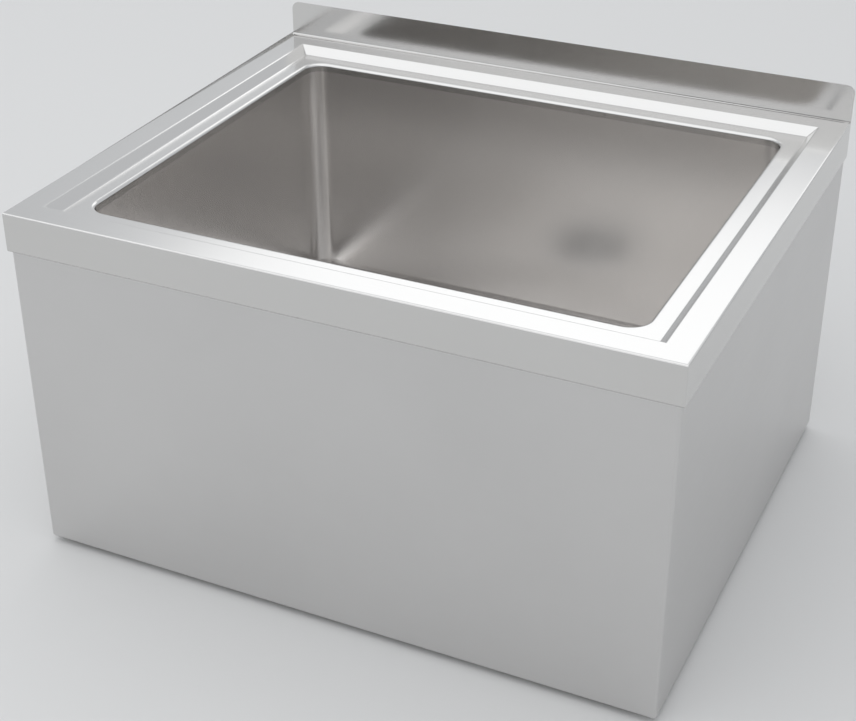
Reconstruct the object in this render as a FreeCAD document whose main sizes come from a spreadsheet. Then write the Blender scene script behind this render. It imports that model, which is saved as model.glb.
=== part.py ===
import FreeCAD, Part
import math
import os

import Sketcher

# A box-type utility laundry sink in folded stainless steel, millimetres.
# +X is to the user's right, +Y towards the wall, +Z up.
# The origin is on the floor, at the middle of the sink's footprint.

DIMENSIONS = {
    # Deck: a raised flat rim, a slope down on all four sides and a flat round the bowl's opening
    "top_width": 600,
    "top_depth": 500,
    "sheet_gauge": 1.2,
    "bend_radius": 2.6,
    "rim_width": 25,
    "recess_depth": 8,
    "recess_slope": 8,
    "skirt_drop": 36,
    "hem_height": 12,
    "upstand_rise": 36,
    "upstand_corner": 8,
    # Bowl: its drain's height above the ground sets the deck's, and its margin is the deck left round it
    "drain_height": 82,
    "bowl_margin": 50,
    "bowl_depth": 250,
    "bowl_corner": 18,
    "bowl_floor_radius": 17,
    "bowl_floor_fall": 8,
    "lip_radius": 3,
    "collar_depth": 8,
    "drain_flat": 66,
    # Casing and rear rails
    "casing_gauge": 1.0,
    "casing_lift": 6,
    "casing_bend": 3,
    "casing_top_flange": 15,
    "casing_bottom_flange": 20,
    "casing_return": 30,
    "flange_bend": 2,
    "rail_gauge": 1.2,
    "rail_flange": 15,
    "rail_bend": 2,
    "top_rail_height": 40,
    "bottom_rail_height": 30,
    "rail_fit": 0.5,
    # Levelling feet, one in each corner
    "bracket_gauge": 2.5,
    "bracket_span": 75,
    "bracket_relief": 8,
    "bracket_cut": 32,
    "bracket_leg": 24,
    "bracket_bend": 3.5,
    "bracket_height": 33,
    "foot_inset": 40,
    "stem_diameter": 10,
    "stem_length": 50,
    "stem_chamfer": 1,
    "stem_heel_diameter": 12,
    "stem_heel_height": 6,
    "stem_hex_flats": 16,
    "stem_hex_height": 6,
    "thread_play": 0.05,
    "part_play": 0.3,
    "nut_flats": 17,
    "weld_nut_height": 8,
    "lock_nut_height": 5,
    "pad_diameter": 38,
    "pad_edge": 5,
    "pad_hub_diameter": 22,
    "pad_height": 11,
    "pad_chamfer": 1,
    # Basket waste
    "drain_hole": 92,
    "drain_dish": 118,
    "drain_dish_depth": 3,
    "flange_diameter": 114,
    "flange_thickness": 1.5,
    "strainer_diameter": 86,
    "strainer_wall": 3,
    "strainer_depth": 38,
    "strainer_floor_fall": 3,
    "outlet_diameter": 47.8,
    "outlet_bore": 41,
    "outlet_length": 17,
    "washer_thickness": 3,
    "washer_diameter": 106,
    "slip_ring_thickness": 1,
    "ring_nut_height": 9,
    "ring_nut_diameter": 104,
    "ring_nut_lugs": 8,
    "lug_notch_width": 16,
    "lug_notch_depth": 5,
    # Strainer basket
    "basket_play": 0.3,
    "basket_wall": 1,
    "basket_depth": 27,
    "basket_taper": 3,
    "basket_hole": 4,
    "wall_slots": 18,
    "slot_width": 3,
    "slot_height": 12,
    "post_diameter": 8,
    "knob_diameter": 20,
    "knob_height": 8,
    "knob_drop": 3,
    "knob_bevel": 2,
    "rivet_height": 2,
    "stopper_diameter": 52,
    "stopper_thickness": 3,
    # Tail pipe
    "tail_diameter": 40,
    "tail_wall": 2,
    "tail_flange": 2,
    "tail_floor_gap": 2,
    "tail_washer": 2,
    "coupling_height": 18,
    "coupling_flats": 58,
    "coupling_lip": 2,
    # Bonding tag and sound-deadening pads on the bowl's walls
    "tag_width": 20,
    "tag_leg": 18,
    "tag_gauge": 1.5,
    "tag_hole": 6.5,
    "tag_drop": 70,
    "sound_pad_length": 300,
    "sound_pad_height": 120,
    "sound_pad_thickness": 2.5,
    "sound_pad_drop": 90,
    "sound_pad_corner": 12,
}

TOLERANCE = 1e-4
FULL_TURN = 360
NUT_SIDES = 6
DRAIN_FLAT_ROUNDNESS = 0.97
RIM_CREASE = 0.4
BASKET_RINGS = (8, 12, 18)


class Size:
    """A size: its value now, and the formula on the sheet's cells that gives it."""

    def __init__(self, value, formula):
        self.value = float(value)
        self.formula = formula

    def joined(self, other, symbol, value):
        return Size(value, f"({self.formula} {symbol} {written(other)})")

    def __add__(self, other):
        return self.joined(other, "+", self.value + number(other))

    def __sub__(self, other):
        return self.joined(other, "-", self.value - number(other))

    def __mul__(self, other):
        return self.joined(other, "*", self.value * number(other))

    def __truediv__(self, other):
        return self.joined(other, "/", self.value / number(other))

    def __neg__(self):
        return Size(-self.value, f"(0 - {self.formula})")


def number(size):
    return size.value if isinstance(size, Size) else float(size)


def written(size):
    return size.formula if isinstance(size, Size) else repr(round(float(size), 9))


def root(size):
    return Size(math.sqrt(size.value), f"sqrt({size.formula})")


class Cells:
    """The driving dimensions, each by its name."""


document = FreeCAD.newDocument("utility_sink")
sheet = document.addObject("Spreadsheet::Sheet", "sizes")
size = Cells()
for row, (alias, amount) in enumerate(DIMENSIONS.items(), 1):
    sheet.set(f"A{row}", alias.replace("_", " "))
    sheet.set(f"B{row}", str(amount))
    sheet.setAlias(f"B{row}", alias)
    setattr(size, alias, Size(amount, f"sizes.{alias}"))
document.recompute()

pieces = []


# Tools for drawing and shaping


def bind(item, path, amount):
    if isinstance(amount, Size):
        item.setExpression(path, amount.formula)


def new_form(label):
    """A body that only helps to shape a piece and isn't one itself."""
    body = document.addObject("PartDesign::Body", label)
    body.Label = label
    return body


def new_body(label):
    body = new_form(label)
    pieces.append(body)
    return body


def new_sketch(body, name, role, offset=0):
    """A sketch parallel to one of the body's own origin planes, moved along its normal."""
    sketch = body.newObject("Sketcher::SketchObject", name)
    base = next(item for item in body.Origin.OriginFeatures if item.Role == role)
    sketch.AttachmentSupport = (base, [""])
    sketch.MapMode = "FlatFace"
    sketch.AttachmentOffset = FreeCAD.Placement(FreeCAD.Vector(0, 0, number(offset)), FreeCAD.Rotation())
    bind(sketch, "AttachmentOffset.Base.z", offset)
    return sketch


def pin_point(sketch, geometry, end, x, y):
    """Fixes a point by its two distances from the sketch's origin."""
    for kind, axis, amount in (("DistanceX", -2, x), ("DistanceY", -1, y)):
        if abs(number(amount)) < TOLERANCE:
            sketch.addConstraint(Sketcher.Constraint("PointOnObject", geometry, end, axis))
            continue
        index = sketch.addConstraint(Sketcher.Constraint(kind, -1, 1, geometry, end, number(amount)))
        bind(sketch, f"Constraints[{index}]", amount)


def step_towards(start, end, distance):
    """The point at a distance from start, along an edge that is parallel to an axis."""
    run_x = number(end[0]) - number(start[0])
    run_y = number(end[1]) - number(start[1])
    if abs(run_x) > abs(run_y):
        return (start[0] + distance if run_x > 0 else start[0] - distance, start[1])
    return (start[0], start[1] + distance if run_y > 0 else start[1] - distance)


def point(x, y):
    return FreeCAD.Vector(number(x), number(y), 0)


def draw_outline(sketch, corners):
    """A closed outline. A corner is (x, y), or (x, y, radius) where two square edges meet in a bend."""
    stops = []
    for index, corner in enumerate(corners):
        if len(corner) == 2:
            stops.append((corner, corner, None))
            continue
        before = corners[index - 1]
        after = corners[(index + 1) % len(corners)]
        stops.append((step_towards(corner, before, corner[2]), step_towards(corner, after, corner[2]), corner))
    lines = []
    for index, (_, leave, _) in enumerate(stops):
        arrive = stops[(index + 1) % len(stops)][0]
        line = sketch.addGeometry(Part.LineSegment(point(*leave), point(*arrive)), False)
        pin_point(sketch, line, 1, *leave)
        lines.append(line)
    for index, (enter, leave, corner) in enumerate(stops):
        if corner is None:
            sketch.addConstraint(Sketcher.Constraint("Coincident", lines[index - 1], 2, lines[index], 1))
            continue
        draw_bend(sketch, lines[index - 1], lines[index], enter, leave, corner)


def draw_bend(sketch, line_in, line_out, enter, leave, corner):
    """A quarter circle from the end of one line to the start of the next."""
    start, end, tip = point(*enter), point(*leave), point(corner[0], corner[1])
    centre = start + end - tip
    middle = centre + (tip - centre).normalize() * number(corner[2])
    turn = (end - tip).cross(start - tip).z
    arc = sketch.addGeometry(Part.Arc(start, middle, end), False)
    pin_point(sketch, line_in, 2, *enter)
    first, last = (1, 2) if turn > 0 else (2, 1)
    sketch.addConstraint(Sketcher.Constraint("Coincident", line_in, 2, arc, first))
    sketch.addConstraint(Sketcher.Constraint("Coincident", arc, last, line_out, 1))
    index = sketch.addConstraint(Sketcher.Constraint("Radius", arc, number(corner[2])))
    bind(sketch, f"Constraints[{index}]", corner[2])


def draw_circle(sketch, x, y, radius):
    circle = sketch.addGeometry(Part.Circle(point(x, y), FreeCAD.Vector(0, 0, 1), number(radius)), False)
    pin_point(sketch, circle, 3, x, y)
    index = sketch.addConstraint(Sketcher.Constraint("Radius", circle, number(radius)))
    bind(sketch, f"Constraints[{index}]", radius)


def drawn(body, name, role, start, outlines=(), circles=()):
    sketch = new_sketch(body, f"{name}_sketch", role, start)
    for corners in outlines:
        draw_outline(sketch, corners)
    for circle in circles:
        draw_circle(sketch, *circle)
    return sketch


def add_prism(body, name, role, start, length, outlines=(), circles=()):
    """Pads a drawing from its plane along the plane's normal."""
    pad = body.newObject("PartDesign::Pad", name)
    pad.Profile = drawn(body, name, role, start, outlines, circles)
    pad.Length = number(length)
    bind(pad, "Length", length)
    body.Tip = pad
    document.recompute()
    return pad


def cut_prism(body, name, role, start, length, outlines=(), circles=()):
    """Pockets a drawing from its plane along the plane's normal."""
    before = body.Shape.Volume
    pocket = body.newObject("PartDesign::Pocket", name)
    pocket.Profile = drawn(body, name, role, start, outlines, circles)
    pocket.Length = number(length)
    pocket.Reversed = True
    bind(pocket, "Length", length)
    body.Tip = pocket
    document.recompute()
    check_cut(body, name, before)
    return pocket


def check_cut(body, name, before):
    if body.Shape.Volume >= before - TOLERANCE:
        raise RuntimeError(f"{body.Label}: {name} cut nothing")


def loft(body, name, kind, first, last):
    """A straight-sided loft between two drawings, added or cut. Each is (height, outline)."""
    feature = body.newObject(kind, name)
    feature.Profile = drawn(body, f"{name}_first", "XY_Plane", first[0], [first[1]])
    feature.Sections = [drawn(body, f"{name}_last", "XY_Plane", last[0], [last[1]])]
    feature.Ruled = True
    body.Tip = feature
    document.recompute()
    return feature


def add_loft(body, name, first, last):
    return loft(body, name, "PartDesign::AdditiveLoft", first, last)


def cut_loft(body, name, first, last):
    before = body.Shape.Volume
    feature = loft(body, name, "PartDesign::SubtractiveLoft", first, last)
    check_cut(body, name, before)
    return feature


def turn_profile(body, name, kind, corners):
    """Turns a profile of (radius, height) corners about the vertical axis."""
    feature = body.newObject(kind, name)
    sketch = drawn(body, name, "XZ_Plane", 0, [corners])
    feature.Profile = sketch
    feature.ReferenceAxis = (sketch, ["V_Axis"])
    feature.Angle = FULL_TURN
    body.Tip = feature
    document.recompute()
    return feature


def add_turned(body, name, corners):
    return turn_profile(body, name, "PartDesign::Revolution", corners)


def repeat_round(body, name, feature, count):
    """Repeats a feature evenly round the vertical axis."""
    upright = next(item for item in body.Origin.OriginFeatures if item.Role == "Z_Axis")
    pattern = body.newObject("PartDesign::PolarPattern", name)
    pattern.Originals = [feature]
    pattern.Axis = (upright, [""])
    pattern.Angle = FULL_TURN
    pattern.Occurrences = round(number(count))
    bind(pattern, "Occurrences", count)
    body.Tip = pattern
    document.recompute()
    return pattern


def take_away(body, name, tool):
    """Cuts one body's form out of another."""
    before = body.Shape.Volume
    feature = body.newObject("PartDesign::Boolean", name)
    feature.Type = "Cut"
    feature.setObjects([tool])
    body.Tip = feature
    document.recompute()
    check_cut(body, name, before)
    return feature


def edges_where(feature, test):
    return [f"Edge{index}" for index, edge in enumerate(feature.Shape.Edges, 1) if test(edge.BoundBox)]


def same(first, second):
    return abs(first - number(second)) < TOLERANCE


def at_height(box, height):
    return same(box.ZMin, height) and same(box.ZMax, height)


def at_depth(box, depth):
    return same(box.YMin, depth) and same(box.YMax, depth)


def at_side(box, side):
    return same(box.XMin, side) and same(box.XMax, side)


def within(box, half_x, half_y):
    """True for an edge inside a rectangle that is centred on the origin."""
    reach_x = max(-box.XMin, box.XMax)
    reach_y = max(-box.YMin, box.YMax)
    return reach_x < number(half_x) + TOLERANCE and reach_y < number(half_y) + TOLERANCE


def round_edges(body, name, radius, test):
    base = body.Tip
    chosen = edges_where(base, test)
    if not chosen:
        raise RuntimeError(f"{body.Label}: {name} found no edge")
    feature = body.newObject("PartDesign::Fillet", name)
    feature.Base = (base, chosen)
    feature.Radius = number(radius)
    bind(feature, "Radius", radius)
    body.Tip = feature
    document.recompute()
    if feature.Shape.isNull():
        raise RuntimeError(f"{body.Label}: {name} could not be rounded")
    return feature


def rectangle(half_x, half_y):
    return [(-half_x, -half_y), (half_x, -half_y), (half_x, half_y), (-half_x, half_y)]


def rounded_rectangle(half_x, half_y, radius):
    return [(x, y, radius) for x, y in rectangle(half_x, half_y)]


def block(low_x, high_x, low_y, high_y):
    return [(low_x, low_y), (high_x, low_y), (high_x, high_y), (low_x, high_y)]


def hexagon(flats):
    """The six corners of a nut, from the distance across its flats."""
    corner = flats / math.sqrt(3)
    turns = [math.radians(FULL_TURN / NUT_SIDES * index) for index in range(NUT_SIDES)]
    return [(corner * round(math.cos(turn), 9), corner * round(math.sin(turn), 9)) for turn in turns]


# Places that several pieces share

half_width = size.top_width / 2
half_depth = size.top_depth / 2
half_bowl_x = half_width - size.bowl_margin
half_bowl_y = half_depth - size.bowl_margin
drain_level = size.drain_height
recess_level = drain_level + size.bowl_depth
deck_level = recess_level + size.recess_depth
bowl_top = recess_level - size.collar_depth
skirt_foot = deck_level - size.skirt_drop
deck_underside = deck_level - size.sheet_gauge
casing_face = half_width - size.sheet_gauge * 2
casing_front = half_depth - size.sheet_gauge * 2
casing_inner = casing_face - size.casing_gauge
casing_inner_front = casing_front - size.casing_gauge


def skirt_ring(offset, thickness, rear):
    """A band round the front and both sides, set in from the deck's outline, open at the rear."""
    outer_x, outer_y = half_width - offset, half_depth - offset
    inner_x, inner_y = outer_x - thickness, outer_y - thickness
    return [
        (-outer_x, rear),
        (-outer_x, -outer_y),
        (outer_x, -outer_y),
        (outer_x, rear),
        (inner_x, rear),
        (inner_x, -inner_y),
        (-inner_x, -inner_y),
        (-inner_x, rear),
    ]


# Worktop: one folded and pressed sheet, with skirts, recess, bowl collar and upstand


def make_worktop():
    body = new_body("worktop")
    gauge = size.sheet_gauge
    inner_bend = size.bend_radius - gauge
    lip_inner = size.lip_radius - gauge

    add_prism(body, "deck_block", "XY_Plane", skirt_foot, size.skirt_drop, [rectangle(half_width, half_depth)])
    round_edges(
        body,
        "skirt_bend",
        size.bend_radius,
        lambda box: at_height(box, deck_level) and not at_depth(box, half_depth),
    )
    cavity = block(-half_width + gauge, half_width - gauge, -half_depth + gauge, half_depth + gauge)
    cut_prism(body, "deck_underside", "XY_Plane", skirt_foot, size.skirt_drop - gauge, [cavity])
    round_edges(
        body,
        "skirt_inner_bend",
        inner_bend,
        lambda box: at_height(box, deck_underside) and not at_depth(box, half_depth),
    )
    add_prism(body, "skirt_hem", "XY_Plane", skirt_foot, size.hem_height, [skirt_ring(gauge, gauge, half_depth)])

    # The slope's underside keeps the sheet's gauge through both bends
    slope_length = root(size.recess_slope * size.recess_slope + size.recess_depth * size.recess_depth)
    mitre = gauge * (slope_length - size.recess_slope) / size.recess_depth
    rim_x, rim_y = half_width - size.rim_width, half_depth - size.rim_width
    foot_x, foot_y = rim_x - size.recess_slope, rim_y - size.recess_slope
    add_loft(
        body,
        "recess_shell",
        (deck_underside, rectangle(rim_x + mitre, rim_y + mitre)),
        (recess_level - gauge, rectangle(foot_x + mitre, foot_y + mitre)),
    )
    cut_loft(
        body,
        "recess",
        (deck_level, rectangle(rim_x, rim_y)),
        (recess_level, rectangle(foot_x, foot_y)),
    )

    collar = rounded_rectangle(half_bowl_x + gauge, half_bowl_y + gauge, size.bowl_corner + gauge)
    opening = rounded_rectangle(half_bowl_x, half_bowl_y, size.bowl_corner)
    add_prism(body, "collar", "XY_Plane", bowl_top, size.collar_depth - gauge, [collar])
    cut_prism(body, "bowl_opening", "XY_Plane", bowl_top, size.collar_depth, [opening])
    round_edges(
        body,
        "lip",
        size.lip_radius,
        lambda box: at_height(box, recess_level) and within(box, half_bowl_x, half_bowl_y),
    )
    round_edges(
        body,
        "lip_underside",
        lip_inner,
        lambda box: at_height(box, recess_level - gauge)
        and within(box, half_bowl_x + gauge, half_bowl_y + gauge),
    )

    upstand_top = deck_level + size.upstand_rise
    fold = [
        (half_depth - size.rim_width / 2, deck_underside),
        (half_depth, deck_underside, size.bend_radius),
        (half_depth, upstand_top),
        (half_depth - gauge, upstand_top),
        (half_depth - gauge, deck_level, inner_bend),
        (half_depth - size.rim_width / 2, deck_level),
    ]
    add_prism(body, "upstand", "YZ_Plane", -half_width, size.top_width, [fold])
    round_edges(
        body,
        "upstand_corners",
        size.upstand_corner,
        lambda box: at_height(box, upstand_top) and (at_side(box, half_width) or at_side(box, -half_width)),
    )


# Bowl: seamless, with a floor that falls to the drain from all four corners


def shape_bowl(body, grow):
    """The bowl as a filled form, grown outwards and downwards by a sheet's gauge."""
    wall_foot = drain_level + size.bowl_floor_fall - grow
    outline = rounded_rectangle(half_bowl_x + grow, half_bowl_y + grow, size.bowl_corner + grow)
    flat = rounded_rectangle(size.drain_flat, size.drain_flat, size.drain_flat * DRAIN_FLAT_ROUNDNESS)
    add_prism(body, f"{body.Label}_wall", "XY_Plane", wall_foot, bowl_top - wall_foot, [outline])
    add_loft(body, f"{body.Label}_floor", (wall_foot, outline), (drain_level - grow, flat))
    round_edges(
        body,
        f"{body.Label}_floor_bend",
        size.bowl_floor_radius + grow,
        lambda box: at_height(box, wall_foot),
    )


def make_bowl():
    gauge = size.sheet_gauge
    hollow = new_form("bowl_hollow")
    shape_bowl(hollow, 0)
    body = new_body("bowl")
    shape_bowl(body, gauge)
    take_away(body, "bowl_inside", hollow)

    dish_level = drain_level - size.drain_dish_depth
    dish_radius = size.drain_dish / 2
    shell = [(0, 0, dish_radius + gauge)]
    add_prism(body, "dish_shell", "XY_Plane", dish_level - gauge, size.drain_dish_depth, circles=shell)
    dish = [(0, 0, dish_radius)]
    cut_prism(body, "dish", "XY_Plane", dish_level, size.drain_dish_depth, circles=dish)
    hole = [(0, 0, size.drain_hole / 2)]
    cut_prism(body, "drain_hole", "XY_Plane", dish_level - gauge, size.drain_dish_depth, circles=hole)


# Casing: one sheet wrapped round the front and both sides, flanged top and bottom, open at the back


def casing_outline(side, front, rear, bend):
    """The casing's plan, open or closed at the rear, with its two front bends."""
    return [(-side, rear), (-side, -front, bend), (side, -front, bend), (side, rear)]


def make_casing():
    body = new_body("casing")
    gauge = size.casing_gauge
    foot, head = size.casing_lift, deck_underside
    beyond = half_depth + gauge
    outline = casing_outline(casing_face, casing_front, half_depth, size.casing_bend)
    add_prism(body, "wrap", "XY_Plane", foot, head - foot, [outline])
    round_edges(
        body,
        "flange_bends",
        size.flange_bend,
        lambda box: (at_height(box, foot) or at_height(box, head)) and not at_depth(box, half_depth),
    )
    hollow = casing_outline(casing_inner, casing_inner_front, beyond, size.casing_bend - gauge)
    cut_prism(body, "inside", "XY_Plane", foot + gauge, head - foot - gauge * 2, [hollow])
    round_edges(
        body,
        "inner_flange_bends",
        size.flange_bend - gauge,
        lambda box: (at_height(box, foot + gauge) or at_height(box, head - gauge))
        and not at_depth(box, half_depth),
    )
    for name, flange, level in (
        ("top", size.casing_top_flange, head - gauge),
        ("bottom", size.casing_bottom_flange, foot),
    ):
        side = casing_face - flange
        opening = block(-side, side, -casing_front + flange, beyond)
        cut_prism(body, f"{name}_opening", "XY_Plane", level, gauge, [opening])
    for name, low, high in (
        ("left", -casing_face, -casing_face + size.casing_return),
        ("right", casing_face - size.casing_return, casing_face),
    ):
        plate = block(low, high, half_depth - gauge, half_depth)
        base, height = foot + size.flange_bend, head - foot - size.flange_bend * 2
        add_prism(body, f"{name}_return", "XY_Plane", base, height, [plate])


# Rear rails: a channel under the deck and an angle at the foot tie the casing's two returns together


def make_rear_rails():
    gauge = size.rail_gauge
    back = half_depth - size.casing_gauge
    front = back - size.rail_flange
    bend, inner_bend = size.rail_bend, size.rail_bend - gauge

    top, bottom = deck_underside, deck_underside - size.top_rail_height
    channel = [
        (front, bottom),
        (back, bottom, bend),
        (back, top, bend),
        (front, top),
        (front, top - gauge),
        (back - gauge, top - gauge, inner_bend),
        (back - gauge, bottom + gauge, inner_bend),
        (front, bottom + gauge),
    ]
    half_length = casing_face - size.casing_top_flange - size.rail_fit
    add_prism(new_body("rear_top_rail"), "channel", "YZ_Plane", -half_length, half_length * 2, [channel])

    bottom = size.casing_lift + size.casing_gauge
    top = bottom + size.bottom_rail_height
    angle = [
        (front, bottom),
        (back, bottom, bend),
        (back, top),
        (back - gauge, top),
        (back - gauge, bottom + gauge, inner_bend),
        (front, bottom + gauge),
    ]
    half_length = casing_inner - size.flange_bend
    add_prism(new_body("rear_bottom_rail"), "angle", "YZ_Plane", -half_length, half_length * 2, [angle])


# Levelling feet: a folded bracket, a weld nut, a lock nut, a stem and a pad in each corner


def place(body, x, y, turn=0):
    axis = FreeCAD.Vector(0, 0, 1)
    body.Placement = FreeCAD.Placement(FreeCAD.Vector(number(x), number(y), 0), FreeCAD.Rotation(axis, turn))
    bind(body, "Placement.Base.x", x)
    bind(body, "Placement.Base.y", y)


def shape_bracket(body):
    """Its outer corner is at the body's origin and its legs hang along +X and +Y."""
    gauge, span, relief = size.bracket_gauge, size.bracket_span, size.bracket_relief
    cut = span - size.bracket_cut
    top = size.bracket_height
    underside = top - gauge
    plate = [
        (relief, 0),
        (span, 0),
        (span, cut),
        (cut, span),
        (0, span),
        (0, relief),
        (relief, relief),
    ]
    add_prism(body, f"{body.Label}_plate", "XY_Plane", underside, gauge, [plate])
    foot = top - size.bracket_leg
    for name, leg in (
        ("x", block(relief, span, 0, gauge)),
        ("y", block(0, gauge, relief, span)),
    ):
        add_prism(body, f"{body.Label}_leg_{name}", "XY_Plane", foot, underside - foot, [leg])
    outer = size.bracket_bend
    round_edges(
        body,
        f"{body.Label}_outer_bend",
        outer,
        lambda box: at_height(box, top) and (at_depth(box, 0) or at_side(box, 0)),
    )
    round_edges(
        body,
        f"{body.Label}_inner_bend",
        outer - gauge,
        lambda box: at_height(box, underside) and (at_depth(box, gauge) or at_side(box, gauge)),
    )
    hole = [(size.foot_inset, size.foot_inset, size.stem_diameter / 2 + size.part_play)]
    cut_prism(body, f"{body.Label}_hole", "XY_Plane", underside, gauge, circles=hole)


def shape_nut(body, bottom, height):
    bore = [(0, 0, size.stem_diameter / 2 + size.thread_play)]
    add_prism(body, f"{body.Label}_nut", "XY_Plane", bottom, height, [hexagon(size.nut_flats)], bore)


def shape_stem(body):
    """The heel turns in the pad's socket, and a spanner turns the hexagon above it."""
    heel, thread = size.stem_heel_diameter / 2, size.stem_diameter / 2
    collar = size.pad_height + size.part_play
    collar_top = collar + size.stem_hex_height
    tip = collar_top + size.stem_length
    add_turned(
        body,
        f"{body.Label}_turned",
        [
            (0, collar - size.stem_heel_height),
            (heel, collar - size.stem_heel_height),
            (heel, collar_top),
            (thread, collar_top),
            (thread, tip - size.stem_chamfer),
            (thread - size.stem_chamfer, tip),
            (0, tip),
        ],
    )
    hexagonal = [hexagon(size.stem_hex_flats)]
    add_prism(body, f"{body.Label}_hexagon", "XY_Plane", collar, size.stem_hex_height, hexagonal)


def shape_pad(body):
    rim, hub = size.pad_diameter / 2, size.pad_hub_diameter / 2
    socket = size.stem_heel_diameter / 2 + size.thread_play
    floor = size.pad_height - size.stem_heel_height
    add_turned(
        body,
        f"{body.Label}_turned",
        [
            (0, 0),
            (rim - size.pad_chamfer, 0),
            (rim, size.pad_chamfer),
            (rim, size.pad_edge),
            (hub, size.pad_height - size.pad_chamfer),
            (hub, size.pad_height),
            (socket, size.pad_height),
            (socket, floor),
            (0, floor),
        ],
    )


def make_feet():
    """The rear brackets stand in front of the bottom rail, so they sit a rail's gauge further in."""
    rear_corner = half_depth - size.casing_gauge - size.rail_gauge
    underside = size.bracket_height - size.bracket_gauge
    corners = (
        ("front_left", -casing_inner, -casing_inner_front, 1, 1, 0),
        ("front_right", casing_inner, -casing_inner_front, -1, 1, 90),
        ("rear_right", casing_inner, rear_corner, -1, -1, 180),
        ("rear_left", -casing_inner, rear_corner, 1, -1, 270),
    )
    for name, x, y, inward_x, inward_y, turn in corners:
        bracket = new_body(f"foot_bracket_{name}")
        shape_bracket(bracket)
        place(bracket, x, y, turn)
        axis_x = x + size.foot_inset * inward_x
        axis_y = y + size.foot_inset * inward_y
        weld_nut = new_body(f"foot_weld_nut_{name}")
        shape_nut(weld_nut, size.bracket_height, size.weld_nut_height)
        lock_nut = new_body(f"foot_lock_nut_{name}")
        shape_nut(lock_nut, underside - size.lock_nut_height, size.lock_nut_height)
        stem = new_body(f"foot_stem_{name}")
        shape_stem(stem)
        pad = new_body(f"foot_pad_{name}")
        shape_pad(pad)
        for body in (weld_nut, lock_nut, stem, pad):
            place(body, axis_x, axis_y)


# Waste: the strainer body hangs in the bowl's dish and a ring nut pulls it down from below

strainer_radius = size.strainer_diameter / 2
cup_radius = strainer_radius - size.strainer_wall
outlet_radius = size.outlet_diameter / 2
bore_radius = size.outlet_bore / 2
cup_floor = drain_level - size.strainer_depth
bore_level = cup_floor - size.strainer_floor_fall
outlet_end = bore_level - size.outlet_length
dish_underside = drain_level - size.drain_dish_depth - size.sheet_gauge


def ring(label, inner, outer, bottom, thickness):
    """A flat washer about the drain's axis."""
    body = new_body(label)
    circles = [(0, 0, outer), (0, 0, inner)]
    add_prism(body, f"{label}_ring", "XY_Plane", bottom, thickness, circles=circles)
    return body


def make_strainer_body():
    add_turned(
        new_body("strainer_body"),
        "strainer_turned",
        [
            (size.flange_diameter / 2, drain_level - size.flange_thickness),
            (size.flange_diameter / 2, drain_level, size.flange_thickness / 2),
            (strainer_radius, drain_level),
            (cup_radius, drain_level - size.strainer_wall),
            (cup_radius, cup_floor),
            (bore_radius, bore_level),
            (bore_radius, outlet_end),
            (outlet_radius, outlet_end),
            (outlet_radius, bore_level - size.strainer_wall),
            (strainer_radius, cup_floor - size.strainer_wall),
            (strainer_radius, drain_level - size.flange_thickness),
        ],
    )


def make_waste_seals():
    dish_level = drain_level - size.drain_dish_depth
    seal = size.drain_dish_depth - size.flange_thickness
    ring("flange_gasket", size.drain_hole / 2, size.flange_diameter / 2, dish_level, seal)
    inner = strainer_radius + size.part_play
    outer = size.washer_diameter / 2
    washer_foot = dish_underside - size.washer_thickness
    ring("under_washer", inner, outer, washer_foot, size.washer_thickness)
    slip_foot = washer_foot - size.slip_ring_thickness
    ring("slip_ring", inner, outer, slip_foot, size.slip_ring_thickness)
    return slip_foot


def make_ring_nut(top):
    outer = size.ring_nut_diameter / 2
    bottom = top - size.ring_nut_height
    body = ring("ring_nut", strainer_radius + size.thread_play, outer, bottom, size.ring_nut_height)
    half_notch = size.lug_notch_width / 2
    notch = block(outer - size.lug_notch_depth, outer + size.lug_notch_depth, -half_notch, half_notch)
    cut = cut_prism(body, "lug_notch", "XY_Plane", bottom, size.ring_nut_height, [notch])
    repeat_round(body, "lug_notches", cut, size.ring_nut_lugs)


# Strainer basket: a perforated cup with a knob, a post and a rubber stopper, lifted out by hand

stopper_radius = size.stopper_diameter / 2
stopper_foot = (
    bore_level
    + size.strainer_floor_fall * (stopper_radius - bore_radius) / (cup_radius - bore_radius)
    + size.basket_play
)
basket_foot = drain_level - size.basket_depth
post_radius = size.post_diameter / 2


def make_basket():
    body = new_body("basket")
    wall = size.basket_wall
    seat_play = size.basket_play * math.sqrt(2)
    rim = strainer_radius - seat_play
    neck = cup_radius - seat_play
    heel = neck - size.basket_taper
    hole = post_radius + size.thread_play
    add_turned(
        body,
        "basket_shell",
        [
            (hole, basket_foot),
            (heel, basket_foot),
            (neck, drain_level - size.strainer_wall),
            (rim, drain_level),
            (rim - wall * math.sqrt(2), drain_level),
            (neck - wall, drain_level - size.strainer_wall - wall * RIM_CREASE),
            (heel - wall, basket_foot + wall),
            (hole, basket_foot + wall),
        ],
    )
    hole_radius = size.basket_hole / 2
    span = heel - hole
    for index, count in enumerate(BASKET_RINGS):
        reach = hole + span * (index + 1) / (len(BASKET_RINGS) + 1)
        name = f"drain_ring_{index + 1}"
        cut = cut_prism(body, name, "XY_Plane", basket_foot, wall, circles=[(reach, 0, hole_radius)])
        repeat_round(body, f"{name}_pattern", cut, count)
    half_slot = size.slot_width / 2
    slot_foot = basket_foot + (size.basket_depth - size.strainer_wall - size.slot_height) / 2
    slot = [block(-half_slot, half_slot, slot_foot, slot_foot + size.slot_height)]
    cut = cut_prism(body, "wall_slot", "XZ_Plane", heel - wall * 2, wall * 2 + size.basket_taper * 2, slot)
    repeat_round(body, "wall_slots", cut, size.wall_slots)


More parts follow.
